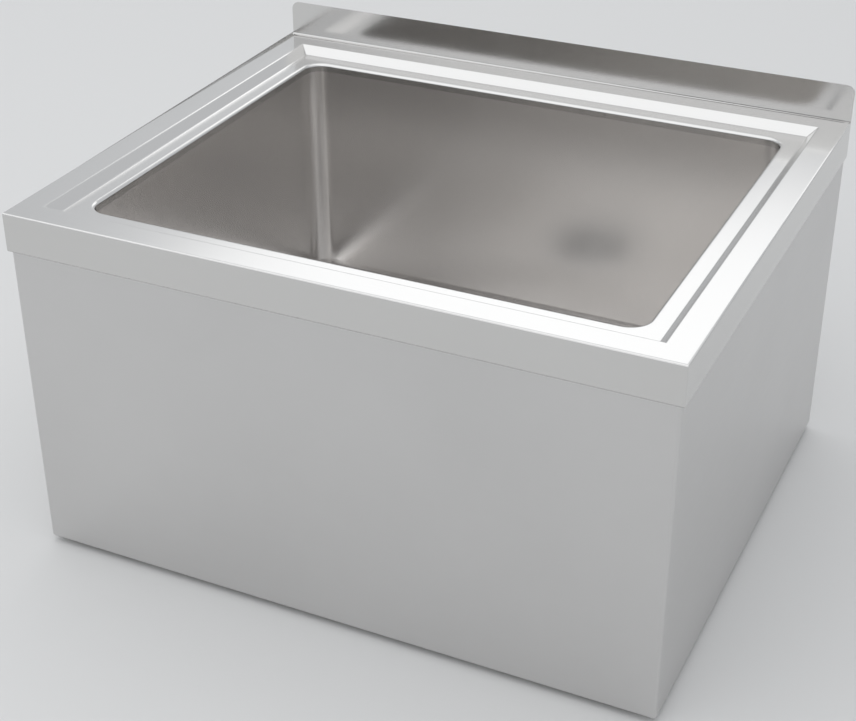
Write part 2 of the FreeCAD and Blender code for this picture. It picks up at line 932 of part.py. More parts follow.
def make_basket_fittings():
    knob = size.knob_diameter / 2
    knob_top = drain_level - size.knob_drop
    knob_foot = knob_top - size.knob_height
    stopper_top = stopper_foot + size.stopper_thickness
    shoulder = post_radius + size.basket_wall * 2
    basket_floor = basket_foot + size.basket_wall
    add_turned(
        new_body("basket_knob"),
        "knob_turned",
        [
            (0, stopper_foot - size.rivet_height),
            (shoulder, stopper_foot - size.rivet_height),
            (shoulder, stopper_foot),
            (post_radius, stopper_foot),
            (post_radius, stopper_top),
            (shoulder, stopper_top),
            (shoulder, basket_foot),
            (post_radius, basket_foot),
            (post_radius, basket_floor),
            (shoulder, basket_floor),
            (shoulder, basket_floor + size.rivet_height),
            (post_radius, basket_floor + size.rivet_height),
            (post_radius, knob_foot),
            (knob - size.knob_bevel, knob_foot),
            (knob, knob_foot + size.knob_bevel),
            (knob, knob_top - size.knob_bevel),
            (knob - size.knob_bevel, knob_top),
            (0, knob_top),
        ],
    )
    inner = post_radius + size.thread_play
    ring("basket_stopper", inner, stopper_radius, stopper_foot, size.stopper_thickness)


# Tail pipe: a flanged tube clamped against the strainer's outlet by a coupling nut


def make_tail():
    tube = size.tail_diameter / 2
    flange = outlet_radius - size.part_play
    flange_top = outlet_end - size.tail_washer
    flange_foot = flange_top - size.tail_flange
    relief_foot = flange_foot - size.coupling_lip - size.part_play
    relief = tube - size.part_play
    ring("tail_washer", tube - size.tail_wall, flange, flange_top, size.tail_washer)
    add_turned(
        new_body("tailpiece"),
        "tail_turned",
        [
            (tube - size.tail_wall, size.tail_floor_gap),
            (tube, size.tail_floor_gap),
            (tube, relief_foot),
            (relief, relief_foot),
            (relief, flange_foot),
            (flange, flange_foot),
            (flange, flange_top),
            (tube - size.tail_wall, flange_top),
        ],
    )
    body = new_body("coupling_nut")
    bottom = flange_foot - size.coupling_lip
    passage = [(0, 0, tube + size.part_play)]
    flats = [hexagon(size.coupling_flats)]
    add_prism(body, "coupling_hexagon", "XY_Plane", bottom, size.coupling_height, flats, passage)
    bore = [(0, 0, outlet_radius + size.thread_play)]
    cut_prism(body, "coupling_bore", "XY_Plane", flange_foot, size.coupling_height, circles=bore)


# Small fittings on the outside of the bowl


def make_bonding_tag():
    """A welded angle on the rear wall with a hole for the building's bonding wire."""
    body = new_body("bonding_tag")
    wall = half_bowl_y + size.sheet_gauge
    top = deck_level - size.tag_drop
    gauge = size.tag_gauge
    angle = [
        (wall, top),
        (wall + size.tag_leg, top),
        (wall + size.tag_leg, top - gauge),
        (wall + gauge, top - gauge),
        (wall + gauge, top - size.tag_leg),
        (wall, top - size.tag_leg),
    ]
    add_prism(body, "tag_angle", "YZ_Plane", -size.tag_width / 2, size.tag_width, [angle])
    hole = [(0, wall + gauge + (size.tag_leg - gauge) / 2, size.tag_hole / 2)]
    cut_prism(body, "tag_hole", "XY_Plane", top - gauge, gauge, circles=hole)


def make_sound_pads():
    """Stuck on the outside of the bowl's front and rear walls."""
    wall = half_bowl_y + size.sheet_gauge
    half_length = size.sound_pad_length / 2
    top = deck_level - size.sound_pad_drop
    pad = [
        (x, y, size.sound_pad_corner)
        for x, y in block(-half_length, half_length, top - size.sound_pad_height, top)
    ]
    for name, start in (("front", wall), ("rear", -wall - size.sound_pad_thickness)):
        body = new_body(f"sound_pad_{name}")
        add_prism(body, f"{name}_pad", "XZ_Plane", start, size.sound_pad_thickness, [pad])


make_worktop()
make_bowl()
make_casing()
make_rear_rails()
make_feet()
make_strainer_body()
make_ring_nut(make_waste_seals())
make_basket()
make_basket_fittings()
make_tail()
make_bonding_tag()
make_sound_pads()


# Checks and export

document.recompute()
for item in document.Objects:
    if "Invalid" in item.State or "Error" in item.State:
        raise RuntimeError(f"{item.Label} failed: {item.State}")
os.makedirs("parts", exist_ok=True)
for piece in pieces:
    shape = piece.Shape
    if shape.isNull() or not shape.isValid():
        raise RuntimeError(f"{piece.Label} has no valid shape")
    shape.exportStep(os.path.join("parts", f"{piece.Label}.step"))
    print(piece.Label, len(shape.Solids), round(shape.Volume))
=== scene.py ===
import math

import bmesh
import bpy
from mathutils import Matrix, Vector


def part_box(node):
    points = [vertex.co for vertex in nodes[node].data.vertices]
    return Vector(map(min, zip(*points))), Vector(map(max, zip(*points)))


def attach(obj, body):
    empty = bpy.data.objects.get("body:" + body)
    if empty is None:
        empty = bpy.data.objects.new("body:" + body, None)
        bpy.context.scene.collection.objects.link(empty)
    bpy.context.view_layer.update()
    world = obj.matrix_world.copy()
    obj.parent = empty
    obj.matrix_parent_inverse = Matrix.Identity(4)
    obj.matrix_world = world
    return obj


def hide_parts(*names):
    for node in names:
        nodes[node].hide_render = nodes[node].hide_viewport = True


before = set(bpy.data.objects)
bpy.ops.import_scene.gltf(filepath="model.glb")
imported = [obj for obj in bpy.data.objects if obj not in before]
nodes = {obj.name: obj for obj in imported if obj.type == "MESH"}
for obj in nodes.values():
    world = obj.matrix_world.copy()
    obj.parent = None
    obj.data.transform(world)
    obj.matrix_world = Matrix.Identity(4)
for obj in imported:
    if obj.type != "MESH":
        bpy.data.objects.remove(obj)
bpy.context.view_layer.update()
scene = bpy.context.scene
scene.view_settings.view_transform = "Standard"


# Studio: a plain pale floor, with the sink standing on its four pads, that fades into pale air.
# Two soft lamps hang overhead and shine straight down: a wide one in front of the sink and to its
# left, and a small one behind it.

STUDIO_REACH = 60
FLOOR_GREY = (0.66, 0.66, 0.655, 1)
FLOOR_ROUGHNESS = 0.8
FADE_START = 4
FADE_END = 16
AIR_COLOUR = (0.95, 0.97, 1.0, 1)
AIR_STRENGTH = 0.74
LAMP_LEVEL = 3


def deselect_all():
    for item in bpy.context.selected_objects:
        item.select_set(False)


def named_material(name):
    material = bpy.data.materials.new(name)
    material.use_nodes = True
    shader = material.node_tree.nodes["Principled BSDF"]
    return material, material.node_tree.nodes, material.node_tree.links, shader


deselect_all()
bpy.ops.mesh.primitive_plane_add(size=STUDIO_REACH)
floor = bpy.context.object
floor.name = "studio_floor"
floor_paint, parts, links, shader = named_material("studio_floor_paint")
shader.inputs["Base Color"].default_value = FLOOR_GREY
shader.inputs["Roughness"].default_value = FLOOR_ROUGHNESS
place = parts.new("ShaderNodeTexCoord")
distance = parts.new("ShaderNodeVectorMath")
distance.operation = "LENGTH"
links.new(place.outputs["Object"], distance.inputs[0])
fade = parts.new("ShaderNodeMapRange")
fade.interpolation_type = "SMOOTHSTEP"
fade.inputs["From Min"].default_value = FADE_START
fade.inputs["From Max"].default_value = FADE_END
links.new(distance.outputs["Value"], fade.inputs["Value"])
rays = parts.new("ShaderNodeLightPath")
seen = parts.new("ShaderNodeMath")
seen.operation = "ADD"
seen.use_clamp = True
links.new(rays.outputs["Is Camera Ray"], seen.inputs[0])
links.new(rays.outputs["Is Glossy Ray"], seen.inputs[1])
share = parts.new("ShaderNodeMath")
share.operation = "MULTIPLY"
links.new(fade.outputs["Result"], share.inputs[0])
links.new(seen.outputs["Value"], share.inputs[1])
haze = parts.new("ShaderNodeEmission")
haze.inputs["Color"].default_value = AIR_COLOUR
haze.inputs["Strength"].default_value = AIR_STRENGTH
blend = parts.new("ShaderNodeMixShader")
links.new(share.outputs["Value"], blend.inputs["Fac"])
links.new(shader.outputs["BSDF"], blend.inputs[1])
links.new(haze.outputs["Emission"], blend.inputs[2])
links.new(blend.outputs["Shader"], parts["Material Output"].inputs["Surface"])
floor.data.materials.append(floor_paint)

world = bpy.data.worlds.new("studio_air")
scene.world = world
world.use_nodes = True
air = world.node_tree.nodes["Background"]
air.inputs["Color"].default_value = AIR_COLOUR
air.inputs["Strength"].default_value = AIR_STRENGTH


def hang_lamp(name, x, y, width, depth, watts):
    """A soft rectangular lamp that hangs over a place and shines straight down."""
    bpy.ops.object.light_add(type="AREA", location=(x, y, LAMP_LEVEL))
    lamp = bpy.context.object
    lamp.name = name
    lamp.data.shape = "RECTANGLE"
    lamp.data.size = width
    lamp.data.size_y = depth
    lamp.data.energy = watts


hang_lamp("lamp_overhead", -0.75, -2.75, width=5.5, depth=8.5, watts=95)
hang_lamp("lamp_behind", -1.3, 4.55, width=3.8, depth=2.9, watts=29)


# Camera: it stands in front of the sink and to its right, and looks down into the bowl.
# Its lens is a little long, and its tilt, turn and roll are in degrees.

LENS = 69.69
CAMERA_PLACE = (0.5676, -1.2392, 0.9306)
CAMERA_TURN = 25.48
CAMERA_TILT = 30.154
CAMERA_ROLL = -0.22

bpy.ops.object.camera_add()
camera = bpy.context.object
camera.data.lens = LENS
turn = Matrix.Rotation(math.radians(CAMERA_TURN), 4, "Z")
tilt = Matrix.Rotation(math.radians(90 - CAMERA_TILT), 4, "X")
roll = Matrix.Rotation(math.radians(CAMERA_ROLL), 4, "Z")
camera.matrix_world = Matrix.Translation(CAMERA_PLACE) @ turn @ tilt @ roll
scene.camera = camera


# Worktop: one sheet of stainless steel, folded down into skirts and up into the upstand.
# Its deck is pressed into a recess, and the opening's collar takes the bowl.
# The skirts end in closed hems, and every fold keeps its bending radius.

SHEET = 0.0012
DECK_LEVEL = 0.34
RECESS = 0.008
RIM = 0.025
MARGIN = 0.05
OPENING_CORNER = 0.018
LIP_LAND = 0.004
LIP = 0.003
COLLAR = 0.008
SKIRT = 0.036
HEM = 0.012
UPSTAND = 0.036
UPSTAND_CORNER = 0.008
SKIRT_BEND = 0.0016
UPSTAND_BEND = 0.0028
CREASE = 0.0009
WELDED_CORNER = 0.0005
HEM_BEND = SHEET * 0.97
GAUGE = SHEET * 0.98
NEAR = 0.0002
MERGE = 0.00001
FOLD_ANGLE = math.radians(15)
SHADING_ANGLE = math.radians(30)
MOST = 0.75
WELD_STEPS = 3
BEND_STEPS = 4
ROUND_BEND_STEPS = 6
CORNER_STEPS = 8
OPENING_STEPS = 12


def near(first, second):
    return abs(first - second) < NEAR


def pick(piece, kind, test):
    """Selects the points, edges or faces of the piece in edit mode that pass a test."""
    shape = bmesh.from_edit_mesh(piece.data)
    bpy.ops.mesh.select_all(action="DESELECT")
    bpy.ops.mesh.select_mode(type=kind)
    for item in {"VERT": shape.verts, "EDGE": shape.edges, "FACE": shape.faces}[kind]:
        if test(item):
            item.select_set(True)
    bmesh.update_edit_mesh(piece.data)


def both(edge, test):
    """Says whether both ends of an edge pass a test of their place."""
    return all(test(point.co) for point in edge.verts)


def folded(edge):
    return edge.is_manifold and edge.calc_face_angle() > FOLD_ANGLE


def pull(x=0, y=0, z=0):
    """Extrudes what is selected by a step."""
    bpy.ops.mesh.extrude_region_move(TRANSFORM_OT_translate={"value": (x, y, z)})


def round_off(radius, segments=BEND_STEPS):
    """Rounds the selected edges."""
    bpy.ops.mesh.bevel(offset=radius, segments=segments, affect="EDGES", clamp_overlap=False)


def cut_corners(radius, segments=CORNER_STEPS):
    """Rounds the corners of a flat sheet at the selected points."""
    bpy.ops.mesh.bevel(offset=radius, segments=segments, affect="VERTICES")


def even_shading(piece):
    """Keeps the flats flat in the light, and the bends between them round."""
    bpy.ops.object.shade_smooth_by_angle(angle=SHADING_ANGLE)
    flats = piece.modifiers.new("flats", "WEIGHTED_NORMAL")
    flats.keep_sharp = True
    bpy.ops.object.modifier_apply(modifier=flats.name)


def thicken(piece, gauge):
    """Gives a sheet its gauge, inwards from the face that is seen."""
    sheet = piece.modifiers.new("gauge", "SOLIDIFY")
    sheet.thickness = gauge
    sheet.offset = -1
    bpy.ops.object.modifier_apply(modifier=sheet.name)


half_width, half_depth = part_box("worktop")[1].xy
recess_level = DECK_LEVEL - RECESS
collar_foot = recess_level - COLLAR
opening = (half_width - MARGIN, half_depth - MARGIN)
skirt_foot = DECK_LEVEL - SKIRT
rear = half_depth - SHEET


def at_front(place):
    return near(place.y, -half_depth)


def at_rear(place):
    return near(place.y, half_depth)


def at_side(place):
    return near(abs(place.x), half_width)


def at_level(level):
    return lambda place: near(place.z, level)


def on_opening(edge):
    """Says whether an edge is one of the opening's free edges in the recess."""
    return edge.is_boundary and both(edge, at_level(recess_level))


def fills_opening(face):
    """Says whether a face covers most of the opening, which is four times its half sizes' product."""
    return face.calc_area() > opening[0] * opening[1] * 4 * MOST


def on_lip(edge):
    """Says whether an edge is the fold between the recess and the collar."""
    beside = [other for face in edge.link_faces for other in face.edges]
    return (
        folded(edge)
        and both(edge, at_level(recess_level))
        and any(both(other, at_level(collar_foot)) for other in beside)
    )


def on_free_edge(edge):
    """Says whether an edge bounds the deck at its front or at either side."""
    along_side = near(*[point.co.x for point in edge.verts])
    on_deck = edge.is_boundary and both(edge, at_level(DECK_LEVEL))
    return on_deck and (along_side or both(edge, at_front))


def on_recess(place):
    """Says whether a place is on the recess's slopes, outside the opening's land."""
    inside = abs(place.x) < half_width - RIM + NEAR and abs(place.y) < half_depth - RIM + NEAR
    outside = abs(place.x) > opening[0] + LIP_LAND * 2 or abs(place.y) > opening[1] + LIP_LAND * 2
    return recess_level - NEAR < place.z < DECK_LEVEL + NEAR and inside and outside


deselect_all()
bpy.ops.mesh.primitive_plane_add(size=1, location=(0, 0, DECK_LEVEL))
worktop = bpy.context.object
worktop.name = "worktop_sheet"
worktop.scale = (half_width * 2, half_depth * 2, 1)
bpy.ops.object.transform_apply(location=True, rotation=False, scale=True)
bpy.ops.object.mode_set(mode="EDIT")
bpy.ops.mesh.select_all(action="SELECT")
bpy.ops.mesh.inset(thickness=RIM)
bpy.ops.mesh.inset(thickness=RECESS, depth=-RECESS)
bpy.ops.mesh.delete(type="ONLY_FACE")

# The opening, with a land round it that the lip is rolled from
bpy.ops.mesh.primitive_plane_add(size=2, location=(0, 0, recess_level))
bpy.ops.transform.resize(
    value=(opening[0] + LIP_LAND, opening[1] + LIP_LAND, 1), center_override=(0, 0, recess_level)
)
cut_corners(OPENING_CORNER + LIP_LAND, OPENING_STEPS)
bpy.ops.mesh.select_mode(type="FACE")
bpy.ops.mesh.inset(thickness=LIP_LAND)
pick(worktop, "EDGE", on_opening)
bpy.ops.mesh.fill(use_beauty=True)
pick(worktop, "FACE", fills_opening)
bpy.ops.mesh.delete(type="ONLY_FACE")
pick(worktop, "EDGE", on_opening)
pull(z=-COLLAR)
pick(worktop, "EDGE", on_lip)
round_off(LIP, ROUND_BEND_STEPS)

# The rear edge is folded up, and its two top corners are cut round
pick(worktop, "EDGE", lambda edge: both(edge, at_rear))
bpy.ops.transform.translate(value=(0, -SHEET, 0))
pull(z=UPSTAND)
pick(worktop, "VERT", lambda point: near(point.co.z, DECK_LEVEL + UPSTAND))
cut_corners(UPSTAND_CORNER)

# The front and both sides are folded down and hemmed behind
hem_line = half_width - SHEET * 2


def on_hem_front(point):
    return near(point.co.z, skirt_foot) and near(abs(point.co.x), hem_line) and point.co.y < 0


def on_hem(place):
    return near(place.z, skirt_foot) and abs(place.x) < half_width - SHEET


pick(worktop, "EDGE", on_free_edge)
pull(z=-SKIRT)
pull()
bpy.ops.transform.resize(value=(1 - SHEET * 2 / half_width, 1, 1), center_override=(0, 0, skirt_foot))
pick(worktop, "VERT", on_hem_front)
bpy.ops.transform.translate(value=(0, SHEET * 2, 0))
pick(worktop, "EDGE", lambda edge: both(edge, on_hem))
pull(z=HEM)
pick(worktop, "VERT", lambda point: near(point.co.y, rear) and point.co.z < DECK_LEVEL - NEAR)
bpy.ops.transform.translate(value=(0, SHEET, 0))


def pick_folds(test):
    pick(worktop, "EDGE", lambda edge: folded(edge) and both(edge, test))


# Every fold gets its radius
pick_folds(lambda place: near(place.z, DECK_LEVEL) and (at_side(place) or at_front(place)))
round_off(SKIRT_BEND, ROUND_BEND_STEPS)
pick_folds(at_level(skirt_foot))
round_off(HEM_BEND)
pick_folds(lambda place: at_side(place) and at_front(place))
round_off(WELDED_CORNER, WELD_STEPS)
pick_folds(on_recess)
round_off(CREASE)
pick_folds(lambda place: near(place.y, rear) and near(place.z, DECK_LEVEL))
round_off(UPSTAND_BEND)
bpy.ops.mesh.select_all(action="SELECT")
bpy.ops.mesh.remove_doubles(threshold=MERGE)
bpy.ops.mesh.normals_make_consistent(inside=False)
bpy.ops.object.mode_set(mode="OBJECT")
if max(worktop.data.polygons, key=lambda face: face.area).normal.z < 0:
    worktop.data.flip_normals()
thicken(worktop, GAUGE)

# The ends of the upstand's bend are trimmed level with the sides
bpy.ops.object.mode_set(mode="EDIT")
for side in (-half_width, half_width):
    pick(worktop, "VERT", lambda point: point.co.x / side > 1)
    bpy.ops.transform.resize(value=(0, 1, 1), center_override=(side, 0, 0))
bpy.ops.object.mode_set(mode="OBJECT")
even_shading(worktop)


SCRATCH_DETAIL = 3
SCRATCH_RELIEF = 0.0001
CLOUDS_PER_METRE = 7
CLOUD_DETAIL = 4
ROUGHNESS_SPREAD = 0.12


def sheet_steel(name, colour, roughness, grain, cloud=0.04, scratch=0.03):
    """Steel with fine scratches along its grain and faint clouds left by the belt.

    The grain is the scratches' number in a metre along each axis. Cloud is how far the colour
    strays to either side, and scratch is the strength of the relief.
    """
    material, parts, links, shader = named_material(name)
    shader.inputs["Metallic"].default_value = 1
    place = parts.new("ShaderNodeTexCoord")
    run = parts.new("ShaderNodeMapping")
    run.inputs["Scale"].default_value = grain
    links.new(place.outputs["Object"], run.inputs["Vector"])
    scratches = parts.new("ShaderNodeTexNoise")
    scratches.inputs["Scale"].default_value = 1
    scratches.inputs["Detail"].default_value = SCRATCH_DETAIL
    links.new(run.outputs["Vector"], scratches.inputs["Vector"])
    clouds = parts.new("ShaderNodeTexNoise")
    clouds.inputs["Scale"].default_value = CLOUDS_PER_METRE
    clouds.inputs["Detail"].default_value = CLOUD_DETAIL
    links.new(place.outputs["Object"], clouds.inputs["Vector"])

    tone = parts.new("ShaderNodeMix")
    tone.data_type = "RGBA"
    tone.inputs["A"].default_value = (*[part * (1 - cloud) for part in colour], 1)
    tone.inputs["B"].default_value = (*[min(part * (1 + cloud), 1) for part in colour], 1)
    links.new(clouds.outputs["Fac"], tone.inputs["Factor"])
    links.new(tone.outputs["Result"], shader.inputs["Base Color"])

    rough = parts.new("ShaderNodeMath")
    rough.operation = "MULTIPLY_ADD"
    rough.inputs[1].default_value = roughness * ROUGHNESS_SPREAD * 2
    rough.inputs[2].default_value = roughness * (1 - ROUGHNESS_SPREAD)
    links.new(scratches.outputs["Fac"], rough.inputs[0])
    links.new(rough.outputs["Value"], shader.inputs["Roughness"])

    relief = parts.new("ShaderNodeBump")
    relief.inputs["Strength"].default_value = scratch
    relief.inputs["Distance"].default_value = SCRATCH_RELIEF
    links.new(scratches.outputs["Fac"], relief.inputs["Height"])
    links.new(relief.outputs["Normal"], shader.inputs["Normal"])
    return material


def give_finish(piece, material):
    """Gives a piece one material all over."""
    piece.data.materials.clear()
    piece.data.materials.append(material)


def finish_nodes(material, *names):
    """Gives CAD pieces their finish."""
    for name in names:
        give_finish(nodes[name], material)


deck_steel = sheet_steel(
    "deck_steel", colour=(0.66, 0.655, 0.645), roughness=0.17, grain=(14, 900, 900), cloud=0.02
)
give_finish(worktop, deck_steel)
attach(worktop, "sink")
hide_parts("worktop")


# Bowl: drawn in one piece from stainless sheet, with a floor that falls to the drain from all
# four corners. Its rim butts up under the deck's collar and is welded there.

bowl_steel = sheet_steel(
    "bowl_steel",
    colour=(0.745, 0.73, 0.715),
    roughness=0.24,
    grain=(500, 500, 12),
    cloud=0.02,
    scratch=0.02,
)
finish_nodes(bowl_steel, "bowl")


# Casing: one stainless sheet wrapped round the front and both sides, and open at the back.
# It is flanged top and bottom, stands inside the worktop's hems and is brushed along its length.

casing_steel = sheet_steel(
    "casing_steel", colour=(0.64, 0.635, 0.63), roughness=0.36, grain=(12, 12, 900)
)
finish_nodes(casing_steel, "casing")


# Rear rails, foot brackets and the bonding tag: folded steel sheet, left as rolled.
# A channel under the deck and an angle at the foot tie the casing's returns together at the back.
# A bracket in each corner takes a foot, and the tag is on the outside of the bowl.

rail_steel = sheet_steel(
    "rail_steel", colour=(0.5, 0.5, 0.5), roughness=0.42, grain=(20, 700, 700)
)
finish_nodes(rail_steel, "rear_top_rail", "rear_bottom_rail", "bonding_tag")

CORNERS = ("front_left", "front_right", "rear_right", "rear_left")
finish_nodes(rail_steel, *[f"foot_bracket_{corner}" for corner in CORNERS])


# Feet: in each corner a weld nut on the bracket, a stem screwed through it and a lock nut below.
# They are turned and threaded steel, zinc plated. The stem's heel turns in a moulded nylon pad.

THREAD_PITCH = 0.0015
THREAD_DEPTH = 0.0009
THREAD_FLANK = 0.3
THREAD_CREST = 0.15
THREAD_ROOT = 0.2
THREAD_STEPS = 32
TIP_CHAMFER = THREAD_PITCH / 2
TIP_SHARE = 0.84
ROUND_STEPS = 48
HALF_SIDE_ANGLE = math.radians(30)
TURNED_ANGLE = math.radians(30)
TURNED_SHARE = 0.95
BLANK_SPARE = 1.2
SPARE_TURNS = 3
POINT_SIZE = 0.001
FACING_UP = 0.9
STEM_RADIUS = 0.005
HEEL_RADIUS = 0.006
HEEL_HEIGHT = 0.006
HEXAGON_HEIGHT = 0.006
OVERLAP = 0.001
STEM_FLATS = 0.016
NUT_FLATS = 0.017
NUT_BORE = 0.00505
NUT_SINK = 0.0006
NUT_MOUTH = NUT_BORE + NUT_SINK


def start_point(name, place):
    """Starts a piece in edit mode as a single point."""
    deselect_all()
    bpy.ops.mesh.primitive_plane_add(size=POINT_SIZE, location=place)
    piece = bpy.context.object
    piece.name = name
    bpy.ops.object.transform_apply(location=True, rotation=False, scale=False)
    bpy.ops.object.mode_set(mode="EDIT")
    bpy.ops.mesh.select_mode(type="VERT")
    bpy.ops.mesh.select_all(action="SELECT")
    bpy.ops.mesh.merge(type="CENTER")
    bpy.ops.mesh.select_all(action="SELECT")
    return piece


def draw_outline(points):
    """Draws on from the first point through the others, given as radius and height."""
    for start, end in zip(points, points[1:]):
        pull(x=end[0] - start[0], z=end[1] - start[1])


def weld_points():
    """Merges the points that lie together, and turns the faces outwards."""
    bpy.ops.mesh.select_all(action="SELECT")
    bpy.ops.mesh.remove_doubles(threshold=MERGE)
    bpy.ops.mesh.normals_make_consistent(inside=False)


def turned(name, middle, outline):
    """Turns an outline about an upright line. It closes on itself, or starts and ends on the line."""
    x, y = middle
    if outline[0][0] and outline[-1][0]:
        outline = [*outline, outline[0]]
    piece = start_point(name, (x + outline[0][0], y, outline[0][1]))
    draw_outline(outline)
    weld_points()
    bpy.ops.mesh.spin(steps=ROUND_STEPS, angle=math.tau, center=(x, y, 0), axis=(0, 0, 1))
    weld_points()
    bpy.ops.object.mode_set(mode="OBJECT")
    return piece


def combine(piece, tool, operation):
    """Cuts a piece with a tool, or joins the two, and uses the tool up."""
    bpy.context.view_layer.objects.active = piece
    cut = piece.modifiers.new("cut", "BOOLEAN")
    cut.operation = operation
    cut.object = tool
    bpy.ops.object.modifier_apply(modifier=cut.name)
    bpy.data.objects.remove(tool)


def hexagonal(name, middle, bottom, top, flats, hole=()):
    """A hexagon with its corners turned off, as on a nut. A hole is an outline from its top down."""
    x, y = middle
    corner = flats / 2 / math.cos(HALF_SIDE_ANGLE)
    face = flats / 2 * TURNED_SHARE
    slope = (corner - face) * math.tan(TURNED_ANGLE)
    outline = [(face, bottom), (corner, bottom + slope), (corner, top - slope), (face, top), *hole]
    if not hole:
        outline = [(0, bottom), *outline, (0, top)]
    blank = turned(name + "_blank", middle, outline)
    deselect_all()
    bpy.ops.mesh.primitive_cylinder_add(
        vertices=6,
        radius=corner,
        depth=(top - bottom) * BLANK_SPARE,
        location=(x, y, (bottom + top) / 2),
        rotation=(0, 0, HALF_SIDE_ANGLE),
    )
    piece = bpy.context.object
    piece.name = name
    bpy.ops.object.transform_apply(location=True, rotation=True, scale=True)
    combine(piece, blank, "INTERSECT")
    return piece


def threaded_rod(name, middle, bottom, top, radius):
    """A rod with a right-hand thread, cut level at its foot and chamfered at its tip."""
    x, y = middle
    root = radius - THREAD_DEPTH
    shoulder = top - TIP_CHAMFER
    start = top + THREAD_PITCH
    crest = start + THREAD_PITCH * (THREAD_ROOT + THREAD_FLANK)
    rod = start_point(name, (x + root, y, start))
    draw_outline([
        (root, start),
        (root, start + THREAD_PITCH * THREAD_ROOT),
        (radius, crest),
        (radius, crest + THREAD_PITCH * THREAD_CREST),
        (root, start + THREAD_PITCH),
    ])
    bpy.ops.mesh.select_all(action="SELECT")
    turns = math.ceil((top - bottom) / THREAD_PITCH) + SPARE_TURNS
    bpy.ops.mesh.screw(steps=THREAD_STEPS, turns=turns, center=(x, y, 0), axis=(0, 0, -1))
    weld_points()
    up = (0, 0, 1)
    bpy.ops.mesh.bisect(plane_co=(x, y, bottom), plane_no=up, use_fill=True, clear_inner=True)
    bpy.ops.mesh.select_all(action="SELECT")
    bpy.ops.mesh.bisect(plane_co=(x, y, shoulder), plane_no=up, use_fill=True, clear_outer=True)

    def on_shoulder(face):
        return face.normal.z > FACING_UP and near(face.calc_center_median().z, shoulder)

    pick(rod, "FACE", on_shoulder)
    pull(z=TIP_CHAMFER)
    bpy.ops.transform.resize(value=(TIP_SHARE, TIP_SHARE, 1), center_override=(x, y, top))
    weld_points()
    bpy.ops.object.mode_set(mode="OBJECT")
    return rod


def middle_of(node):
    """The middle of a CAD piece, seen from above."""
    low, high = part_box(node)
    return ((low[0] + high[0]) / 2, (low[1] + high[1]) / 2)


def levels_of(node):
    """The lowest and highest level of a CAD piece."""
    return [corner.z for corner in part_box(node)]


def take_up(piece):
    """Selects one piece alone, for the next operator."""
    deselect_all()
    piece.select_set(True)
    bpy.context.view_layer.objects.active = piece


def copy_to(piece, name, start, end):
    """A copy of a piece, moved from one middle line to another, with its own mesh."""
    take_up(piece)
    step = (end[0] - start[0], end[1] - start[1], 0)
    bpy.ops.object.duplicate_move(TRANSFORM_OT_translate={"value": step})
    copy = bpy.context.object
    copy.name = name
    bpy.ops.object.transform_apply(location=True, rotation=False, scale=False)
    return copy


zinc = sheet_steel(
    "zinc_plate", colour=(0.58, 0.6, 0.63), roughness=0.3, grain=(300, 300, 300), cloud=0.1
)
first = middle_of("foot_stem_front_left")
low, high = levels_of("foot_stem_front_left")
hexagon_foot = low + HEEL_HEIGHT
hexagon_top = hexagon_foot + HEXAGON_HEIGHT
stem = hexagonal("threaded_stem", first, hexagon_foot, hexagon_top, STEM_FLATS)
heel_top = hexagon_foot + OVERLAP
heel = turned("heel", first, [(0, low), (HEEL_RADIUS, low), (HEEL_RADIUS, heel_top), (0, heel_top)])
combine(stem, heel, "UNION")
rod = threaded_rod("rod", first, hexagon_top - OVERLAP, high, STEM_RADIUS)
combine(stem, rod, "UNION")
fittings = {"foot_stem": stem}
for part in ("foot_weld_nut", "foot_lock_nut"):
    foot, top = levels_of(part + "_front_left")
    bore = [
        (NUT_MOUTH, top),
        (NUT_BORE, top - NUT_SINK),
        (NUT_BORE, foot + NUT_SINK),
        (NUT_MOUTH, foot),
    ]
    fittings[part] = hexagonal(part.replace("foot", "turned"), first, foot, top, NUT_FLATS, bore)
for part, piece in fittings.items():
    take_up(piece)
    even_shading(piece)
    give_finish(piece, zinc)
    for corner in CORNERS:
        node = f"{part}_{corner}"
        copy = piece
        if corner != CORNERS[0]:
            copy = copy_to(piece, f"{piece.name}_{corner}", first, middle_of(node))
        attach(copy, f"stem_{corner}" if part == "foot_stem" else "sink")
        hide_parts(node)


GRAIN_SHADE = 0.85
GRAIN_STRENGTH = 0.15
GRAIN_RELIEF = 0.0003


def moulded(name, colour, roughness, grain=900):
    """A moulded surface with a fine even grain, given as its number in a metre."""
    material, parts, links, shader = named_material(name)
    place = parts.new("ShaderNodeTexCoord")
    speckle = parts.new("ShaderNodeTexNoise")
    speckle.inputs["Scale"].default_value = grain
    links.new(place.outputs["Object"], speckle.inputs["Vector"])
    tone = parts.new("ShaderNodeMix")
    tone.data_type = "RGBA"
    tone.inputs["A"].default_value = (*[part * GRAIN_SHADE for part in colour], 1)
    tone.inputs["B"].default_value = (*colour, 1)
    links.new(speckle.outputs["Fac"], tone.inputs["Factor"])
    links.new(tone.outputs["Result"], shader.inputs["Base Color"])
    shader.inputs["Roughness"].default_value = roughness
    relief = parts.new("ShaderNodeBump")
    relief.inputs["Strength"].default_value = GRAIN_STRENGTH
    relief.inputs["Distance"].default_value = GRAIN_RELIEF
    links.new(speckle.outputs["Fac"], relief.inputs["Height"])
    links.new(relief.outputs["Normal"], shader.inputs["Normal"])
    return material


nylon = moulded("black_nylon", colour=(0.03, 0.03, 0.032), roughness=0.45)
finish_nodes(nylon, *[f"foot_pad_{corner}" for corner in CORNERS])


# Waste: the polished strainer body hangs in the bowl's dish on a rubber gasket, and a cast ring
# nut pulls it down from below. The basket, with its rubber stopper, lifts out by hand. A flanged
# tail pipe is clamped to the outlet by a coupling nut, both of white plastic.

